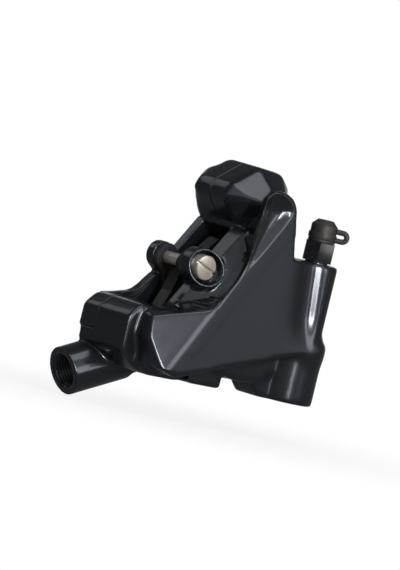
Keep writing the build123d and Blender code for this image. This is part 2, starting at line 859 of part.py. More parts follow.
def tether_ring():
    """The rubber ring round the spout, below the cap, that the strap is moulded to."""
    inner_r = nipple_spout_d / 2 + cap_gap
    ring = post(nipple_x, nipple_y, inner_r + tether_ring_wall, cap_z - tether_ring_t - touch, cap_z - touch)
    return ring - post(nipple_x, nipple_y, inner_r, cap_z - tether_ring_t - overrun, cap_z + overrun)


def cap_tether():
    """The folded strap from the ring up to the cap, lying to the rear."""
    turn = math.radians(tether_turn)
    side_way = (math.sin(turn), -math.cos(turn), 0)
    plane = Plane(origin=(nipple_x, nipple_y, 0), x_dir=(math.cos(turn), math.sin(turn), 0), z_dir=side_way)
    start = cap_d / 2 + cap_band + touch
    low = cap_z - tether_ring_t / 2
    top = low + tether_fold_h
    middle = (low + top) / 2
    tip = cap_d / 2 + tether_reach
    reach = tip - tether_fold_h / 2
    edges = [
        Line((start, low), (reach, low)),
        ThreePointArc((reach, low), (tip, middle), (reach, top)),
        Line((reach, top), (start, top)),
        Line((start, top), (start, top - tether_t)),
        Line((start, top - tether_t), (reach, top - tether_t)),
        ThreePointArc((reach, top - tether_t), (tip - tether_t, middle), (reach, low + tether_t)),
        Line((reach, low + tether_t), (start, low + tether_t)),
        Line((start, low + tether_t), (start, low)),
    ]
    return extrude(plane.offset(-tether_w / 2) * make_face(edges), amount=tether_w)


builders = {
    "outboard_body": outboard_body,
    "inboard_body": inboard_body,
    "body_bolts": body_bolts,
    "passage_seal": passage_seal,
    "outboard_piston": lambda: piston(1),
    "inboard_piston": lambda: piston(-1),
    "outboard_piston_seal": lambda: piston_seal(1),
    "inboard_piston_seal": lambda: piston_seal(-1),
    "outboard_pad_plate": lambda: pad_plate(1),
    "inboard_pad_plate": lambda: pad_plate(-1),
    "outboard_pad_lining": lambda: pad_lining(1),
    "inboard_pad_lining": lambda: pad_lining(-1),
    "pad_spring": pad_spring,
    "pad_axle": pad_axle,
    "axle_clip": axle_clip,
    "bleed_nipple": bleed_nipple,
    "bleed_cap": bleed_cap,
    "tether_ring": tether_ring,
    "cap_tether": cap_tether,
}

for name, build in builders.items():
    export_step(build(), f"parts/{name}.step")
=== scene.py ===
"""Looks for the disc brake caliper: finishes, soft cast edges, the hose thread, the cap's strap and the studio."""

import math

import bmesh
import bpy
import numpy as np
from mathutils import Matrix, Vector

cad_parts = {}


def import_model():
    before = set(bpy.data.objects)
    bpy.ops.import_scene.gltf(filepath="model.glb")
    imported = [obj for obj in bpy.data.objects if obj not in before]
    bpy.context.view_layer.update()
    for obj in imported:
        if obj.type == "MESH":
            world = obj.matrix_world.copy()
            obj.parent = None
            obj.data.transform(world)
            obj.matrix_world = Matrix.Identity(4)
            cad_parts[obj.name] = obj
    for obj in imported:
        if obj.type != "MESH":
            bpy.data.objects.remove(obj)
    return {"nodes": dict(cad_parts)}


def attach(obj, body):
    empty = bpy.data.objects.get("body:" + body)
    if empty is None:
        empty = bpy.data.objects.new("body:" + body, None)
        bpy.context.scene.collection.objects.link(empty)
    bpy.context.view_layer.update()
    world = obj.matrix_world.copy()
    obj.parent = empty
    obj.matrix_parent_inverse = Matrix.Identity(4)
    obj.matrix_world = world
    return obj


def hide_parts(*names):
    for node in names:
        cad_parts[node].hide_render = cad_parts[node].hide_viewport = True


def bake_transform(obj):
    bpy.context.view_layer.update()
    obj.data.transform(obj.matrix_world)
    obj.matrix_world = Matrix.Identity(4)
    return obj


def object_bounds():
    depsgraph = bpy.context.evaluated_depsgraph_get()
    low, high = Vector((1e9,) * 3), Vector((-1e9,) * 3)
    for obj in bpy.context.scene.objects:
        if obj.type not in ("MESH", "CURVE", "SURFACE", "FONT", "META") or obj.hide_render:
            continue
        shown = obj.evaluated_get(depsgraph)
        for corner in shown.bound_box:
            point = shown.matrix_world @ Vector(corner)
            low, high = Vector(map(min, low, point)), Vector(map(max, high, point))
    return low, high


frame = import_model()
cad_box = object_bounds()

MM = 0.001

# Camera: a long lens, its image plane upright along UP and RIGHT
RIGHT = Vector((-0.7372, 0.6342, 0.2332))
UP = Vector((0.1457, -0.1878, 0.9714))
AHEAD = Vector((0.6599, 0.7500, 0.0461))
TARGET = Vector((8.77, -9.14, 23.29)) * MM
DISTANCE = 4.4
VIEW_HEIGHT = 139.0 * MM
SENSOR = 36.0
CLIP_END = 40.0

# Room: what glossy surfaces see of it, as (toward, cosine where it starts, cosine where it is full, dim, bright)
WALLS = [
    ((0.15, 0.98, 0.1), 0.1, 1.0, 0.1, 1.0),
    (tuple(-AHEAD), 0.86, 0.98, 0.0, 0.35),
    ((-0.33, 0.92, 0.2), 0.965, 0.99, 0.0, 3.0),
]
ROOM_TINT = (0.95, 0.98, 1.0, 1.0)
WORLD_LEVEL = 0.22
WHITE = (1.0, 1.0, 1.0, 1.0)
FLOOR_GREY = (0.85, 0.85, 0.85, 1.0)
FLOOR_IN_GLOSS = 0.12
FLOOR_HALF = 3.0
FLOOR_GAP = 0.3 * MM
FLOOR_ROUGHNESS = 0.9

# What the camera sees of the floor, as (distance from the caliper's middle, level)
SHADED_FLOOR = (0.02, 0.86)
OPEN_FLOOR = (0.11, 1.0)

# Soft boxes: name, direction from the caliper, distance, width, height, watts
SOFT_BOXES = [
    ("top_box", (0.05, 0.38, 0.92), 0.8, 0.6, 0.4, 1.6),
    ("right_strip", (0.236, 0.958, 0.12), 0.9, 0.11, 0.62, 7.5),
    ("back_box", (0.35, -0.72, 0.6), 0.8, 0.34, 0.3, 0.25),
]

# Finishes, and the small rounded edges of turned and pressed pieces
BUMP_DEPTH = 0.05 * MM
WELD_GAP = 0.001 * MM
ROUND_SEGMENTS = 3
ROUND_ANGLE = math.radians(28)

# Hose port
PORT_MOUTH = Vector((39.1, -16.6, -4.1)) * MM
PORT_PITCH = math.radians(24.0)
PORT_YAW = math.radians(-7.0)
THREAD_R = 4.0 * MM
THREAD_PITCH = 0.75 * MM
THREAD_DEPTH = 0.42 * MM
THREAD_SUNK = 0.02 * MM
THREAD_LENGTH = 9.0 * MM
THREAD_LEAD = 0.6 * MM
THREAD_STEPS = 48
THREAD_CREST = 0.08

# Strap of the cap
NIPPLE = Vector((-17.2, 0.9)) * MM
STRAP_TURN = math.radians(138.0)
STRAP_LOW = 40.5 * MM
STRAP_TOP = 44.0 * MM
STRAP_START = 3.1 * MM
STRAP_TIP = 6.6 * MM
STRAP_T = 1.35 * MM
STRAP_W = 2.4 * MM
STRAP_RUN_STEPS = 6
STRAP_FOLD_STEPS = 16
STRAP_SIDES = 20
STRAP_ROUNDING = (0.5, 0.7)

# Cast halves: the skin's grid, and how often it is relaxed
VOXEL = 0.22 * MM
RELAX_PASSES = 30
END_PASSES = 36
SHAPE_PASSES = 8
EVEN_PASSES = 6
RELAX_STEP = 0.5
EVEN_STEPS = (0.5, -0.52)
FACE_SHARE = 0.3

# From here on all lengths are in millimetres. Places on a casting are X, Y and Z, or T along the rotor's edge and R
# outward of the pad axle. A fade is (measure, none, all): it rises from 0 to 1 between its two values.
AXLE_X, AXLE_Z = 15.3, 28.2
LEAN = math.radians(55.3)
SEAM_Y = -12.5
BORE_DROP = 18.5
STEP_Z = 7.9

# Places that stay sharp, as (distance that is sharp, distance that is soft, least softness), and where each ends.
# BORE_END is a fade by the distance from the seam.
SEAM_ZONE = (0.5, 1.7, 0.10)
BOSS_ZONE = (5.2, 6.4, 0.05)
BOSS_END = [("y", -3.6, -4.6)]
BORE_ZONE = (12.8, 13.6, 0.15)
BORE_END = (13.0, 14.0)
MOUTH_ZONE = (6.6, 8.5, 0.12)
WINDOW_HALF = (15.5, 6.2)
WINDOW_SOFTNESS = 0.35
STEP_ZONE = (0.6, 1.6, 0.1)
STEP_END = [("y", -13.5, -11.5)]
FAR_HALF_ZONE = (-1.0, 1.0, 0.3)
NIPPLE_ZONE = (3.6, 4.6, 0.3)
NIPPLE_END = [("z", 33.0, 32.0)]

# Places that are rounded further, and how much
TOP_NEAR_END = [("z", 41.0, 45.0), ("y", -8.5, -6.5)]
TOP_FAR_END = [("y", -16.4, -17.8), ("r", -1.0, 1.5), ("t", 10.0, 14.0)]
FRONT_FAR_END = [("y", -16.4, -17.8), ("x", 24.0, 27.0), ("z", 8.5, 9.5)]
SHELF_PLACE = (-10.5, -4.0)
SHELF_REACH = (6.0, 3.5)
SHELF = [("y", -3.0, -1.0), ("y", 4.5, 2.5)]
TOP_NEAR_SHARE = 0.6
TOP_FAR_SHARE = 1.5
MOST_ROUNDING = 1.6

# Outer plate: its face, front bevel, and top edge with the ridge as (T, R)
PLATE_Y = 7.4
PLATE_R = -3.5
PLATE_FALL_T = 0.0375
PLATE_FALL_R = 0.0245
BEVEL_TOP = (-8.6, -3.5)
BEVEL_TURN = 0.026
BEVEL_SLOPE = 0.5
BEVEL_END = [("t", -9.2, -6.5)]
BEVEL_LIFT = 6.0
EDGE_LINE = [
    (-23.4, 8.3), (-17.4, 3.6), (-8.6, -3.5), (2.4, -3.25), (6.8, -2.2), (13.6, 1.0), (17.9, 3.9), (20.9, 5.3),
]
CREST = EDGE_LINE[4:]
EDGE_EASE = (-1.0, -0.4, 0.4, 1.0)
EDGE_SPARE = 0.4
EDGE_K = 4.5
SIGHT_DROP = 0.76
SIGHT_SHIFT = 0.45

# Trimming to that edge. As (none, all), the first two are by T, then by the excess, by R beyond the edge and by R.
TRIM_PASSES = 4
TRIM_DROP = (-9.5, -6.0)
TRIM_SLANT = 0.81
TRIM_SLANT_END = (-8.0, -10.0)
TRIM_MOST = (1.2, 0.9)
TRIM_BY_EDGE = (-6.0, -3.0)
TRIM_BY_R = (-9.5, -7.4)
TRIM_ZONE = [("t", -29.0, -27.0), ("t", 21.0, 19.0), ("y", 1.8, 3.0)]

# The body under the edge: at each T, the Y of its inner side and how far that lies below the edge. Crease, low line
# and root are given as (R, how far out of the plate's face).
RIDGE_FOOT = [
    (-20.8, 2.0, 0.0), (-17.6, 1.4, 0.0), (-13.0, 2.0, 0.0), (-8.6, 0.5, 0.1), (-6.4, 1.0, 1.7), (-4.0, 1.6, 3.4),
    (0.0, 1.9, 4.3), (6.8, 1.9, 5.0), (22.0, 1.9, 5.0),
]
RIDGE_PROUD = 0.1
RIDGE_CREASE = (-3.8, 0.05)
RIDGE_LOW = (-7.4, 0.02)
RIDGE_ROOT = (-9.4, -1.0)

# The plate's rounded top and the long hollow in it
RIM = [(23.2, 5.0), (24.8, 3.7), (26.0, 1.2), (26.1, -1.8), (25.4, -4.6)]
TOP_ROOT = [(22.0, -8.0), (7.0, -7.0)]
TOP_TUCK = [1.0, 0.75, 0.85, 1.05, 1.1, 1.1, 0.8, 0.4, 0.1, 0.0, 0.0]
TOP_DEPTH = 6.0
HOLLOW = [
    (2.6, -3.8), (6.8, -2.5), (13.6, 0.7), (17.9, 3.7), (20.9, 5.0), (23.4, 4.3), (25.0, 2.0), (25.1, -0.8),
    (24.2, -3.8),
]
HOLLOW_DEPTH = 1.8
HOLLOW_FAR_REACH = 4.5
HOLLOW_NEAR_REACH = 2.6
HOLLOW_TOP = [("y", 3.0, 4.5)]

# The near rail's slanting outer wall: its Y and slope at the low end, and what each gains to the top end
WALL_T = (-14.0, 15.0)
WALL_TOP = -2.1
WALL_HEIGHT = 4.9
WALL_Y = (-3.9, 2.0)
WALL_SLOPE = (1.0, 0.38)
WALL_BACK_Y = -5.0
WALL_ROOT = (3.0, -9.5)
WALL_SECTIONS = 8
WALL_MOST = 4.0
WALL_ZONE = [("t", -13.5, -11.0), ("t", 14.2, 13.2), ("r", -7.6, -7.0), ("y", 3.4, 2.4), ("y", -8.0, -7.0)]
WALL_OFF_BOSS = (4.9, 6.2)

# The rear foot's bulge at (X, Y), as (Z, radius), and the dip in the plate before the rear column
FOOT = (-17.2, 0.5)
FOOT_RINGS = [(4.0, 6.8), (10.0, 7.3), (13.0, 7.6), (15.2, 7.5), (16.2, 6.6), (18.5, 5.2)]
FOOT_SIDES = 64
DIP_X = -12.3
DIP_LEAN = 0.08
DIP_TOP_Z = 34.0
DIP_RUN = 30.0
DIP_WIDTHS = (4.6, 2.1)
DIP_DEPTH = 1.5
DIP_END = [("z", 12.0, 22.0)]
DIP_TOP = [("y", 4.5, 6.0)]

# Far half: the rail's sweep as (X, Z), the front lobe's floor as (X, Y), and the top lobe's end as (T, R), drawn in
# toward its bolt at each (Y, share)
FAR_SWOOP = [
    (16.2, 23.6), (19.5, 20.0), (21.0, 18.75), (22.6, 18.1), (24.3, 17.75), (27.5, 17.2), (31.0, 16.7),
    (31.0, 15.5), (18.0, 15.5), (16.0, 20.0),
]
FAR_SWOOP_Y = (-20.4, -17.75)
LOBE_FLOOR = [(14.0, -20.5), (33.8, -20.5), (34.5, -19.6), (34.6, -12.9), (14.0, -12.9)]
LOBE_FLOOR_Z = (7.4, 8.4)
NOSE = [(14.9, -2.0), (15.7, 0.3), (17.3, 3.5), (19.5, 5.4), (22.0, 6.1), (24.6, 5.7), (27.0, 4.0), (28.2, 1.2)]
NOSE_RINGS = [(-15.0, 1.0), (-19.4, 1.0), (-20.6, 0.9), (-21.1, 0.78)]
TOP_BOLT = (22.6, -0.6)
BOLT_RECESS_R = 3.95
BOLT_RECESS_TURNS = [math.radians(10 + 20 * k) for k in range(10)]

# The wall over the second bore: its outer line as (Y, R), within the housing's circle
HOUSING_R = 13.8
HOUSING_BORE_R = 11.3
HOUSING_HALF = 10.4
HOUSING_SECTIONS = 7
HOUSING_LINE = [(-20.6, -4.8), (-26.0, -6.4), (-27.7, -8.6)]
HOUSING_BORE_END = -25.7
HOUSING_LOW = -12.0
HOUSING_LAP = 1.0


def camera():
    """The photograph's camera."""
    data = bpy.data.cameras.new("camera")
    data.sensor_width = SENSOR
    data.lens = SENSOR * DISTANCE / VIEW_HEIGHT
    data.clip_end = CLIP_END
    ob = bpy.data.objects.new("camera", data)
    bpy.context.collection.objects.link(ob)
    turn = Matrix((RIGHT, UP, AHEAD)).transposed().to_4x4()
    ob.matrix_world = Matrix.Translation(TARGET + AHEAD * DISTANCE) @ turn
    bpy.context.scene.camera = ob


def node(tree, kind, inputs=None, **settings):
    """A new node with its settings. Each input, by name or number, is given a value or another node's output."""
    made = tree.nodes.new(kind)
    for key, value in settings.items():
        setattr(made, key, value)
    for key, value in (inputs or {}).items():
        if isinstance(value, bpy.types.NodeSocket):
            tree.links.new(value, made.inputs[key])
        else:
            made.inputs[key].default_value = value
    return made


def result(tree, operation, *inputs):
    """The output of a math node."""
    return node(tree, "ShaderNodeMath", dict(enumerate(inputs)), operation=operation).outputs["Value"]


def speckle_group():
    """Fine noise at a named size: a height for the bump and a mask that varies over the surface."""
    tree = bpy.data.node_groups.new("fine_speckle", "ShaderNodeTree")
    for title, value in (("Scale", 1500.0), ("Detail", 4.0), ("Low", 0.3), ("High", 0.7)):
        socket = tree.interface.new_socket(title, in_out="INPUT", socket_type="NodeSocketFloat")
        socket.default_value = value
    for title in ("Height", "Mask"):
        tree.interface.new_socket(title, in_out="OUTPUT", socket_type="NodeSocketFloat")
    start = tree.nodes.new("NodeGroupInput").outputs
    place = node(tree, "ShaderNodeTexCoord")
    noise = node(tree, "ShaderNodeTexNoise", {
        "Vector": place.outputs["Object"], "Scale": start["Scale"], "Detail": start["Detail"],
    })
    band = node(tree, "ShaderNodeMapRange", {
        "Value": noise.outputs["Fac"], "From Min": start["Low"], "From Max": start["High"],
    }, interpolation_type="SMOOTHSTEP")
    node(tree, "NodeGroupOutput", {"Height": noise.outputs["Fac"], "Mask": band.outputs["Result"]})
    return tree


SPECKLE = speckle_group()


def finish(name, base, other, roughness, rough_spread, bump, scale, metallic=0.0, coat=0.0, coat_roughness=0.1,
           specular=0.5):
    """A material whose colour, roughness and height all vary with fine speckle."""
    made = bpy.data.materials.new(name)
    made.use_nodes = True
    tree = made.node_tree
    shader = tree.nodes["Principled BSDF"]
    shader.inputs["Metallic"].default_value = metallic
    shader.inputs["Coat Weight"].default_value = coat
    shader.inputs["Coat Roughness"].default_value = coat_roughness
    shader.inputs["Specular IOR Level"].default_value = specular
    speckle = node(tree, "ShaderNodeGroup", {}, node_tree=SPECKLE)
    speckle.inputs["Scale"].default_value = scale
    mask = speckle.outputs["Mask"]
    color = node(tree, "ShaderNodeMix", {"A": (*base, 1.0), "B": (*other, 1.0), "Factor": mask}, data_type="RGBA")
    rough = node(tree, "ShaderNodeMapRange", {
        "Value": mask, "To Min": roughness, "To Max": roughness + rough_spread,
    })
    relief = node(tree, "ShaderNodeBump", {
        "Strength": bump, "Distance": BUMP_DEPTH, "Height": speckle.outputs["Height"],
    })
    tree.links.new(color.outputs["Result"], shader.inputs["Base Color"])
    tree.links.new(rough.outputs["Result"], shader.inputs["Roughness"])
    tree.links.new(relief.outputs["Normal"], shader.inputs["Normal"])
    return made


def set_material(material, *names):
    """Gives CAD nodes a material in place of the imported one."""
    for name in names:
        data = frame["nodes"][name].data
        data.materials.clear()
        data.materials.append(material)


def smooth_step(value, none, full):
    """0 at one value, 1 at the other and smooth between, for arrays."""
    part = np.clip((value - none) / (full - none), 0.0, 1.0)
    return part * part * (3.0 - 2.0 * part)


def within(where, fades):
    """How far points lie within a zone: the product of its fades."""
    share = 1.0
    for measure, none, full in fades:
        share = share * smooth_step(where[measure], none, full)
    return share


def sharp_near(distance, zone, beyond=0.0):
    """The softness round a place that stays sharp, unless a point lies beyond it."""
    near, far, least = zone
    return least + (1.0 - least) * np.maximum(smooth_step(distance, near, far), beyond)


def measures(points):
    """Each point's X, Y and Z, and its T along the rotor's edge and R outward of the axle."""
    x, y, z = (points[:, axis] / MM for axis in range(3))
    ahead, up = x - AXLE_X, z - AXLE_Z
    t = up * math.sin(LEAN) - ahead * math.cos(LEAN)
    r = ahead * math.sin(LEAN) + up * math.cos(LEAN)
    return {"x": x, "y": y, "z": z, "t": t, "r": r}


def from_edge(t, r, y):
    """The point at a T, R and Y."""
    across, up = math.cos(LEAN), math.sin(LEAN)
    return Vector((AXLE_X - t * across + r * up, y, AXLE_Z + t * up + r * across)) * MM


def neighbour_mean(points, edges, count):
    """The mean place of each point's neighbours."""
    total = np.zeros_like(points)
    for axis in range(3):
        total[:, axis] = np.bincount(edges[:, 0], points[edges[:, 1], axis], len(points))
        total[:, axis] += np.bincount(edges[:, 1], points[edges[:, 0], axis], len(points))
    return total / count[:, None]


def relax(mesh, softness, extra, shape=None):
    """Rounds a dense skin region by region, carves it where asked, and evens it out."""
    points = np.empty(len(mesh.vertices) * 3)
    mesh.vertices.foreach_get("co", points)
    points = points.reshape(-1, 3)
    edges = np.empty(len(mesh.edges) * 2, dtype=np.int32)
    mesh.edges.foreach_get("vertices", edges)
    edges = edges.reshape(-1, 2)
    count = np.bincount(edges.ravel(), minlength=len(points)).astype(float)

    def smoothed(share, passes):
        for _ in range(passes):
            points[:] += (neighbour_mean(points, edges, count) - points) * share[:, None] * RELAX_STEP

    smoothed(softness(points), RELAX_PASSES)
    smoothed(extra(points), END_PASSES)
    if shape:
        shape(points)
        smoothed(softness(points), SHAPE_PASSES)
    for _ in range(EVEN_PASSES):
        for step in EVEN_STEPS:
            points += (neighbour_mean(points, edges, count) - points) * step
    mesh.vertices.foreach_set("co", points.ravel())
    mesh.update()


def casting_softness(points):
    """How far each part of a casting is rounded: least at the seam, bores, axle's boss, port's mouth and bleed seat."""
    where = measures(points)
    off_seam = np.abs(where["y"] - SEAM_Y)
    soft = sharp_near(off_seam, SEAM_ZONE)
    soft *= sharp_near(np.hypot(where["t"], where["r"]), BOSS_ZONE, within(where, BOSS_END))
    off_bore = np.hypot(where["t"], where["r"] + BORE_DROP)
    soft *= sharp_near(off_bore, BORE_ZONE, smooth_step(off_seam, *BORE_END))
    soft *= sharp_near(np.linalg.norm(points - np.array(PORT_MOUTH), axis=1) / MM, MOUTH_ZONE)
    soft[(np.abs(where["t"]) < WINDOW_HALF[0]) & (off_seam < WINDOW_HALF[1])] *= WINDOW_SOFTNESS
    soft *= sharp_near(np.abs(where["z"] - STEP_Z), STEP_ZONE, within(where, STEP_END))
    soft *= sharp_near(where["y"] - SEAM_Y, FAR_HALF_ZONE)
    off_nipple = np.hypot(where["x"] - NIPPLE.x / MM, where["y"] - NIPPLE.y / MM)
    soft *= sharp_near(off_nipple, NIPPLE_ZONE, within(where, NIPPLE_END))
    return soft


def casting_ends(points):
    """Where a casting is rounded further: the top lobe's ends, the front one's far end and the valley's low end."""
    where = measures(points)
    off_shelf = np.hypot(where["t"] - SHELF_PLACE[0], where["r"] - SHELF_PLACE[1])
    shelf = smooth_step(off_shelf, *SHELF_REACH) * within(where, SHELF)
    top = within(where, TOP_NEAR_END) * TOP_NEAR_SHARE + within(where, TOP_FAR_END) * TOP_FAR_SHARE
    return np.clip(top + within(where, FRONT_FAR_END) + shelf, 0.0, MOST_ROUNDING)


def plate_face(t, r):
    """The Y of the plate's leaning outer face."""
    return PLATE_Y - PLATE_FALL_T * t - PLATE_FALL_R * (r - PLATE_R)


def outer_face(t, r):
    """The Y of the surface that the plate's face and its front bevel make."""
    crease = BEVEL_TOP[1] + BEVEL_TURN * (t - BEVEL_TOP[0])
    bevel = plate_face(t, crease) - BEVEL_SLOPE * (r - crease) + BEVEL_LIFT * within({"t": t}, BEVEL_END)
    return -np.logaddexp(-EDGE_K * plate_face(t, r), -EDGE_K * bevel) / EDGE_K


def edge_line(t):
    """The R of the plate's top edge and ridge, with the line's corners eased."""
    along, out = zip(*EDGE_LINE)
    return sum(np.interp(t + ease, along, out) for ease in EDGE_EASE) / len(EDGE_EASE)


def rail_wall(t, r):
    """The Y of the near rail's slanting outer wall."""
    part = np.clip((t - WALL_T[0]) / (WALL_T[1] - WALL_T[0]), 0.0, 1.0)
    return WALL_Y[0] + WALL_Y[1] * part + (WALL_SLOPE[0] + WALL_SLOPE[1] * part) * (WALL_TOP - r)


def loft(work, rings):
    """A closed body through rings of points."""
    made = [[work.verts.new(point) for point in ring] for ring in rings]
    for first, second in zip(made, made[1:]):
        for k in range(len(first)):
            work.faces.new((first[k], first[(k + 1) % len(first)], second[(k + 1) % len(first)], second[k]))
    work.faces.new(made[0][::-1])
    work.faces.new(made[-1])


def ridge_body(work):
    """The plate's top edge and ridge, a little proud of the line that they are trimmed to."""
    rings = []
    for t, inner_y, drop in RIDGE_FOOT:
        top = float(edge_line(min(t, CREST[0][0]))) + EDGE_SPARE
        section = [(inner_y, RIDGE_ROOT[0]), (inner_y, top - drop), (float(outer_face(t, top)) + RIDGE_PROUD, top)]
        section += [(plate_face(t, r) + proud, r) for r, proud in (RIDGE_CREASE, RIDGE_LOW)]
        section.append((plate_face(t, RIDGE_LOW[0]) + RIDGE_ROOT[1], RIDGE_ROOT[0]))
        rings.append([from_edge(t, r, y) for y, r in section])
    loft(work, rings)


def plate_bodies(work):
    """What the near half carries beyond the CAD's: ridge, the plate's rounded top, rail's wall and foot's bulge."""
    ridge_body(work)
    outline = [(t, r + EDGE_SPARE) for t, r in CREST] + RIM + TOP_ROOT
    rings = []
    for depth in (TOP_DEPTH, 0.0):
        rings.append([
            from_edge(t + SIGHT_SHIFT * depth * tuck, r - SIGHT_DROP * depth * tuck, plate_face(t, r) - depth)
            for (t, r), tuck in zip(outline, TOP_TUCK)
        ])
    loft(work, rings)
    rings = []
    for k in range(WALL_SECTIONS + 1):
        t = WALL_T[0] + (WALL_T[1] - WALL_T[0]) * k / WALL_SECTIONS
        section = [(WALL_BACK_Y, WALL_TOP)]
        section += [(rail_wall(t, r), r) for r in (WALL_TOP, WALL_TOP - WALL_HEIGHT)]
        section += [WALL_ROOT, (WALL_BACK_Y, WALL_ROOT[1])]
        rings.append([from_edge(t, r, y) for y, r in section])
    loft(work, rings)
    turns = [2 * math.pi * k / FOOT_SIDES for k in range(FOOT_SIDES)]
    loft(work, [
        [Vector((FOOT[0] + radius * math.cos(a), FOOT[1] + radius * math.sin(a), z)) * MM for a in turns]
        for z, radius in FOOT_RINGS
    ])


def far_bodies(work):
    """What the far half carries: the rail's sweep, front lobe's floor, top lobe's end and second bore's wall."""
    loft(work, [[Vector((x, y, z)) * MM for x, z in FAR_SWOOP] for y in FAR_SWOOP_Y])
    loft(work, [[Vector((x, y, z)) * MM for x, y in LOBE_FLOOR] for z in LOBE_FLOOR_Z])
    bolt_t, bolt_r = TOP_BOLT
    recess = [(bolt_t + BOLT_RECESS_R * math.cos(a), bolt_r + BOLT_RECESS_R * math.sin(a)) for a in BOLT_RECESS_TURNS]
    rings = []
    for y, share in NOSE_RINGS:
        outer = [(bolt_t + (t - bolt_t) * share, bolt_r + (r - bolt_r) * share) for t, r in NOSE]
        rings.append([from_edge(t, r, y) for t, r in outer + recess])
    loft(work, rings)
    rings = []
    for k in range(2 * HOUSING_SECTIONS + 1):
        t = HOUSING_HALF * (k / HOUSING_SECTIONS - 1)
        bore, rim = (math.sqrt(radius ** 2 - t * t) - BORE_DROP for radius in (HOUSING_BORE_R, HOUSING_R))
        low = min(bore - HOUSING_LAP, HOUSING_LOW)
        section = [(y, min(r, rim)) for y, r in HOUSING_LINE]
        section += [(HOUSING_LINE[-1][0], low), (HOUSING_BORE_END, low), (HOUSING_BORE_END, bore)]
        section.append((HOUSING_LINE[0][0], bore))
        rings.append([from_edge(t, r, y) for y, r in section])
    loft(work, rings)


def distance_to(t, r, line):
    """How far points lie from a line of straight pieces."""
    nearest = np.full(len(t), np.inf)
    for (t0, r0), (t1, r1) in zip(line, line[1:]):
        length2 = (t1 - t0) ** 2 + (r1 - r0) ** 2
        share = np.clip(((t - t0) * (t1 - t0) + (r - r0) * (r1 - r0)) / length2, 0.0, 1.0)
        nearest = np.minimum(nearest, np.hypot(t - t0 - share * (t1 - t0), r - r0 - share * (r1 - r0)))
    return nearest


def inside(t, r, outline):
    """Whether points lie inside an outline."""
    found = np.zeros(len(t), dtype=bool)
    for (t0, r0), (t1, r1) in zip(outline, outline[1:] + outline[:1]):
        if r0 != r1:
            found ^= ((r0 > r) != (r1 > r)) & (t < t0 + (r - r0) / (r1 - r0) * (t1 - t0))
    return found


def bowl(distance, reach):
    """A hollow's depth as a share, steep at its rim and level from a reach on."""
    return 1.0 - (1.0 - np.clip(distance / reach, 0.0, 1.0)) ** 2


def trim_edge(points):
    """Trims the plate's top edge and ridge to their line, the face and bevel to theirs, with a small even rounding."""
    for _ in range(TRIM_PASSES):
        where = measures(points)
        t, r, y = where["t"], where["r"], where["y"]
        edge = edge_line(t)
        drop = SIGHT_DROP * smooth_step(t, *TRIM_DROP)
        slant = TRIM_SLANT * smooth_step(t, *TRIM_SLANT_END)
        length = np.sqrt(1.0 + drop * drop + slant * slant)
        over = y - outer_face(t, r)
        beyond = (r - edge - drop * (y - outer_face(t, np.minimum(r, edge)))) / length
        excess = np.logaddexp(EDGE_K * over, EDGE_K * beyond) / EDGE_K
        by_face = np.exp(EDGE_K * (over - excess))
        by_edge = np.exp(EDGE_K * (beyond - excess))
        step_y = by_face - by_edge * drop / length
        step_r = by_edge / length
        here = smooth_step(r - edge, *TRIM_BY_EDGE) + smooth_step(r, *TRIM_BY_R)
        here = np.clip(here * within(where, TRIM_ZONE), 0.0, 1.0) * smooth_step(excess, *TRIM_MOST)
        here *= np.clip(excess, 0.0, 1.0) / (step_y ** 2 + step_r ** 2) * MM
        points[:, 1] -= here * step_y
        points[:, 0] -= here * step_r * math.sin(LEAN)
        points[:, 2] -= here * step_r * math.cos(LEAN)


def carve(points):
    """Shapes the near half's skin: the plate's edge, the rail's wall, the long hollow and the dip before the column."""
    trim_edge(points)
    where = measures(points)
    x, z, t, r = (where[measure] for measure in "xztr")
    here = within(where, WALL_ZONE) * smooth_step(np.hypot(t, r), *WALL_OFF_BOSS)
    where["y"] = where["y"] - np.clip(where["y"] - rail_wall(t, r), 0.0, WALL_MOST) * here
    depth = bowl(distance_to(t, r, HOLLOW), HOLLOW_FAR_REACH)
    depth *= bowl(distance_to(t, r, [HOLLOW[-1], HOLLOW[0]]), HOLLOW_NEAR_REACH)
    depth *= inside(t, r, HOLLOW)
    where["y"] = where["y"] - depth * HOLLOW_DEPTH * within(where, HOLLOW_TOP)
    middle = DIP_X - DIP_LEAN * np.clip(DIP_TOP_Z - z, 0.0, DIP_RUN)
    width = np.where(x > middle, *DIP_WIDTHS)
    dip = np.exp(-(((x - middle) / width) ** 2)) * within(where, DIP_END)
    points[:, 1] = (where["y"] - dip * DIP_DEPTH * within(where, DIP_TOP)) * MM


def with_modifier(ob, kind, **settings):
    """The mesh that an object has under one modifier."""
    made = ob.modifiers.new(kind.lower(), kind)
    for key, value in settings.items():
        setattr(made, key, value)
    mesh = bpy.data.meshes.new_from_object(ob.evaluated_get(bpy.context.evaluated_depsgraph_get()))
    ob.modifiers.clear()
    ob.data = mesh
    return mesh


def casting(name, source, more, shape=None):
    """A cast half as it leaves the mould: the CAD solid under one even skin, its edges rounded region by region."""
    ob = bpy.data.objects.new(name, frame["nodes"][source].data.copy())
    bpy.context.collection.objects.link(ob)
    work = bmesh.new()
    work.from_mesh(ob.data)
    more(work)
    bmesh.ops.recalc_face_normals(work, faces=work.faces)
    work.to_mesh(ob.data)
    work.free()
    voxel = VOXEL
    relax(with_modifier(ob, "REMESH", mode="VOXEL", voxel_size=voxel), casting_softness, casting_ends, shape)
    mesh = with_modifier(ob, "DECIMATE", ratio=FACE_SHARE)
    mesh.name = name
    mesh.materials.clear()
    mesh.materials.append(MATERIALS["body_paint"])
    for polygon in mesh.polygons:
        polygon.use_smooth = True
    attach(ob, "caliper")
    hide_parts(source)


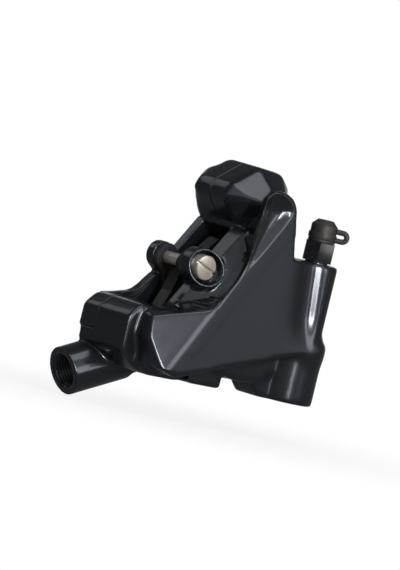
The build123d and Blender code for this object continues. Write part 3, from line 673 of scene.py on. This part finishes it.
def soft_edges(width, *names):
    """Small rounded edges on a turned or pressed piece."""
    for name in names:
        ob = frame["nodes"][name]
        for polygon in ob.data.polygons:
            polygon.use_smooth = True
        weld = ob.modifiers.new("weld", "WELD")
        weld.merge_threshold = WELD_GAP
        edge = ob.modifiers.new("edge", "BEVEL")
        edge.width = width
        edge.segments = ROUND_SEGMENTS
        edge.limit_method = "ANGLE"
        edge.angle_limit = ROUND_ANGLE
        edge.harden_normals = True


def new_piece(name, mesh_maker, material, body=None):
    """A mesh piece of the scene's own, riding on a body where one is given."""
    work = bmesh.new()
    mesh_maker(work)
    bmesh.ops.recalc_face_normals(work, faces=work.faces)
    mesh = bpy.data.meshes.new(name)
    work.to_mesh(mesh)
    work.free()
    for polygon in mesh.polygons:
        polygon.use_smooth = True
    mesh.materials.append(material)
    ob = bpy.data.objects.new(name, mesh)
    bpy.context.collection.objects.link(ob)
    if body:
        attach(ob, body)
    return ob


def hose_thread(work):
    """The helical ridge inside the hose port."""
    level = math.cos(PORT_PITCH)
    ahead = Vector((level * math.cos(PORT_YAW), level * math.sin(PORT_YAW), -math.sin(PORT_PITCH)))
    side = ahead.cross(Vector((0, 0, 1))).normalized()
    lift = side.cross(ahead)
    section = [(THREAD_SUNK, -0.5), (-THREAD_DEPTH, -THREAD_CREST), (-THREAD_DEPTH, THREAD_CREST), (THREAD_SUNK, 0.5)]
    rings = []
    for i in range(int(THREAD_LENGTH / THREAD_PITCH * THREAD_STEPS) + 1):
        angle = 2 * math.pi * i / THREAD_STEPS
        back = THREAD_LEAD + THREAD_PITCH * i / THREAD_STEPS
        out = side * math.cos(angle) + lift * math.sin(angle)
        rings.append([
            work.verts.new(PORT_MOUTH - ahead * (back + along * THREAD_PITCH) + out * (THREAD_R + inset))
            for inset, along in section
        ])
    for first, second in zip(rings, rings[1:]):
        for k in range(len(section) - 1):
            work.faces.new((first[k], first[k + 1], second[k + 1], second[k]))


def rounded(turn, power):
    """A cosine drawn out toward the corners of a rounded section."""
    return math.copysign(abs(math.cos(turn)) ** power, math.cos(turn))


def strap(work):
    """The folded rubber strap: out from the ring under the cap, round a fold and back to the cap's band."""
    way = Vector((math.cos(STRAP_TURN), math.sin(STRAP_TURN), 0))
    side = Vector((-way.y, way.x, 0))
    low = STRAP_LOW + STRAP_T / 2
    top = STRAP_TOP - STRAP_T / 2
    fold = (top - low) / 2
    reach = STRAP_TIP - STRAP_T / 2 - fold
    step = (reach - STRAP_START) / STRAP_RUN_STEPS
    path = [(STRAP_START + step * i, low, (0, 1)) for i in range(STRAP_RUN_STEPS)]
    for i in range(STRAP_FOLD_STEPS + 1):
        sine, cosine = (wave(math.pi * i / STRAP_FOLD_STEPS) for wave in (math.sin, math.cos))
        path.append((reach + fold * sine, low + fold - fold * cosine, (-sine, cosine)))
    path += [(reach - step * i, top, (0, -1)) for i in range(1, STRAP_RUN_STEPS + 1)]
    wide, thick = STRAP_ROUNDING
    rings = []
    for out, height, (lean_out, lean_up) in path:
        here = way * out + Vector((NIPPLE.x, NIPPLE.y, height))
        across = way * lean_out + Vector((0, 0, lean_up))
        turns = [2 * math.pi * k / STRAP_SIDES for k in range(STRAP_SIDES)]
        rings.append([
            here + side * rounded(turn, wide) * STRAP_W / 2 + across * rounded(turn - math.pi / 2, thick) * STRAP_T / 2
            for turn in turns
        ])
    loft(work, rings)


def build_pieces():
    """Pieces that the scene adds to the CAD or shows in its place."""
    casting("outboard_casting", "outboard_body", plate_bodies, carve)
    casting("inboard_casting", "inboard_body", far_bodies)
    new_piece("hose_thread", hose_thread, MATERIALS["port_paint"], "caliper")
    fold = new_piece("cap_strap", strap, MATERIALS["cap_rubber"])
    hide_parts("cap_tether")
    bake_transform(fold)


def build_materials():
    """One finish for each kind of surface."""
    made = {
        "body_paint": finish(
            "body_paint", (0.026, 0.030, 0.037), (0.031, 0.036, 0.044), 0.2, 0.03, 0.004, 2600.0,
            metallic=0.7, coat=0.4, coat_roughness=0.07,
        ),
        "port_paint": finish(
            "port_paint", (0.02, 0.022, 0.026), (0.03, 0.034, 0.04), 0.3, 0.1, 0.08, 2600.0, metallic=0.6, coat=0.3,
        ),
        "axle_nickel": finish(
            "axle_nickel", (0.60, 0.54, 0.47), (0.70, 0.64, 0.56), 0.28, 0.1, 0.1, 3800.0, metallic=0.6,
        ),
        "bolt_black": finish(
            "bolt_black", (0.025, 0.025, 0.028), (0.05, 0.05, 0.054), 0.34, 0.12, 0.2, 3500.0, metallic=0.8,
        ),
        "spring_dark": finish(
            "spring_dark", (0.05, 0.05, 0.052), (0.08, 0.08, 0.083), 0.35, 0.1, 0.15, 3500.0, metallic=0.9,
        ),
        "clip_steel": finish(
            "clip_steel", (0.22, 0.21, 0.2), (0.3, 0.29, 0.27), 0.3, 0.1, 0.15, 3500.0, metallic=1.0,
        ),
        "seal_rubber": finish("seal_rubber", (0.015, 0.015, 0.016), (0.025, 0.025, 0.026), 0.6, 0.15, 0.3, 3000.0),
        "piston_ceramic": finish("piston_ceramic", (0.62, 0.56, 0.46), (0.70, 0.64, 0.53), 0.38, 0.12, 0.15, 3000.0),
        "pad_steel": finish(
            "pad_steel", (0.014, 0.014, 0.016), (0.026, 0.026, 0.028), 0.5, 0.2, 0.4, 2600.0, specular=0.35,
        ),
        "pad_lining": finish(
            "pad_lining", (0.02, 0.019, 0.018), (0.06, 0.052, 0.042), 0.75, 0.2, 0.8, 4200.0, specular=0.3,
        ),
        "nipple_black": finish(
            "nipple_black", (0.010, 0.010, 0.011), (0.018, 0.018, 0.02), 0.2, 0.08, 0.1, 3500.0, coat=0.15,
        ),
        "cap_rubber": finish(
            "cap_rubber", (0.022, 0.020, 0.019), (0.036, 0.032, 0.030), 0.44, 0.14, 0.25, 3000.0, specular=0.4,
        ),
    }
    set_material(made["body_paint"], "outboard_body", "inboard_body")
    set_material(made["bolt_black"], "body_bolts")
    set_material(made["spring_dark"], "pad_spring")
    set_material(made["clip_steel"], "axle_clip")
    set_material(made["seal_rubber"], "passage_seal", "outboard_piston_seal", "inboard_piston_seal")
    set_material(made["piston_ceramic"], "outboard_piston", "inboard_piston")
    set_material(made["pad_steel"], "outboard_pad_plate", "inboard_pad_plate")
    set_material(made["pad_lining"], "outboard_pad_lining", "inboard_pad_lining")
    set_material(made["axle_nickel"], "pad_axle")
    set_material(made["nipple_black"], "bleed_nipple")
    set_material(made["cap_rubber"], "bleed_cap", "tether_ring", "cap_tether")
    return made


def soft_box(name, direction, distance, width, height, watts):
    """A rectangular lamp in a direction from the caliper's middle, which it faces."""
    data = bpy.data.lights.new(name, "AREA")
    data.shape = "RECTANGLE"
    data.size = width
    data.size_y = height
    data.energy = watts
    ob = bpy.data.objects.new(name, data)
    bpy.context.collection.objects.link(ob)
    way = Vector(direction).normalized()
    ob.location = TARGET + way * distance
    ob.rotation_euler = (-way).to_track_quat("-Z", "Y").to_euler()


def floor():
    """A pale floor just below the lowest point, white to the camera away from the caliper's shadow."""
    low = cad_box[0][2] - FLOOR_GAP
    mesh = bpy.data.meshes.new("floor")
    corners = [(x * FLOOR_HALF, y * FLOOR_HALF, low) for x, y in ((-1, -1), (1, -1), (1, 1), (-1, 1))]
    mesh.from_pydata(corners, [], [(0, 1, 2, 3)])
    made = bpy.data.materials.new("floor_white")
    made.use_nodes = True
    tree = made.node_tree
    shader = tree.nodes["Principled BSDF"]
    shader.inputs["Base Color"].default_value = FLOOR_GREY
    shader.inputs["Roughness"].default_value = FLOOR_ROUGHNESS
    shader.inputs["Specular IOR Level"].default_value = 0.0
    path = node(tree, "ShaderNodeLightPath").outputs
    place = node(tree, "ShaderNodeTexCoord").outputs["Object"]
    away = node(tree, "ShaderNodeVectorMath", {0: place, 1: (TARGET.x, TARGET.y, low)}, operation="DISTANCE")
    open_floor = node(tree, "ShaderNodeMapRange", {
        "Value": away.outputs["Value"], "From Min": SHADED_FLOOR[0], "From Max": OPEN_FLOOR[0],
        "To Min": SHADED_FLOOR[1], "To Max": OPEN_FLOOR[1],
    }, interpolation_type="SMOOTHSTEP")
    strength = result(tree, "MULTIPLY_ADD", path["Is Glossy Ray"], FLOOR_IN_GLOSS - 1.0, 1.0)
    glow = node(tree, "ShaderNodeEmission", {"Color": WHITE, "Strength": strength})
    seen = result(tree, "MAXIMUM", path["Is Camera Ray"], path["Is Transmission Ray"])
    seen = result(tree, "MULTIPLY", seen, open_floor.outputs["Result"])
    share = result(tree, "MAXIMUM", seen, path["Is Glossy Ray"])
    blend = node(tree, "ShaderNodeMixShader", {
        "Fac": share, 1: shader.outputs["BSDF"], 2: glow.outputs["Emission"],
    })
    tree.links.new(blend.outputs["Shader"], tree.nodes["Material Output"].inputs["Surface"])
    mesh.materials.append(made)
    ob = bpy.data.objects.new("floor", mesh)
    bpy.context.collection.objects.link(ob)


def wall_level(tree, place, toward, start, full, dim, bright):
    """A wall of the room as glossy surfaces see it: dim, rising to bright toward a direction."""
    way = Vector(toward).normalized()
    cosine = node(tree, "ShaderNodeVectorMath", {0: place, 1: way}, operation="DOT_PRODUCT")
    level = node(tree, "ShaderNodeMapRange", {
        "Value": cosine.outputs["Value"], "From Min": start, "From Max": full, "To Min": dim, "To Max": bright,
    }, interpolation_type="SMOOTHSTEP")
    return level.outputs["Result"]


def world():
    """White to the camera; to glossy surfaces a dim room with paler walls and one bright patch."""
    made = bpy.data.worlds.new("studio")
    bpy.context.scene.world = made
    made.use_nodes = True
    tree = made.node_tree
    plain = tree.nodes["Background"]
    plain.inputs["Color"].default_value = WHITE
    plain.inputs["Strength"].default_value = WORLD_LEVEL
    place = node(tree, "ShaderNodeTexCoord").outputs["Generated"]
    levels = [wall_level(tree, place, *wall) for wall in WALLS]
    total = levels[0]
    for level in levels[1:]:
        total = result(tree, "ADD", total, level)
    seen = node(tree, "ShaderNodeBackground", {"Color": WHITE, "Strength": 1.0})
    room = node(tree, "ShaderNodeBackground", {"Color": ROOM_TINT, "Strength": total})
    path = node(tree, "ShaderNodeLightPath").outputs
    shiny = node(tree, "ShaderNodeMixShader", {
        "Fac": path["Is Glossy Ray"], 1: plain.outputs["Background"], 2: room.outputs["Background"],
    })
    direct = result(tree, "MAXIMUM", path["Is Camera Ray"], path["Is Transmission Ray"])
    whole = node(tree, "ShaderNodeMixShader", {
        "Fac": direct, 1: shiny.outputs["Shader"], 2: seen.outputs["Background"],
    })
    tree.links.new(whole.outputs["Shader"], tree.nodes["World Output"].inputs["Surface"])


def studio():
    """The camera, the floor, the world and the soft boxes."""
    bpy.context.scene.view_settings.view_transform = "Standard"
    camera()
    floor()
    world()
    for box in SOFT_BOXES:
        soft_box(*box)


MATERIALS = build_materials()
soft_edges(0.12 * MM, "pad_axle", "body_bolts", "bleed_nipple")
soft_edges(0.25 * MM, "bleed_cap", "tether_ring")
soft_edges(0.15 * MM, "outboard_pad_plate", "inboard_pad_plate", "outboard_piston", "inboard_piston")
build_pieces()
studio()
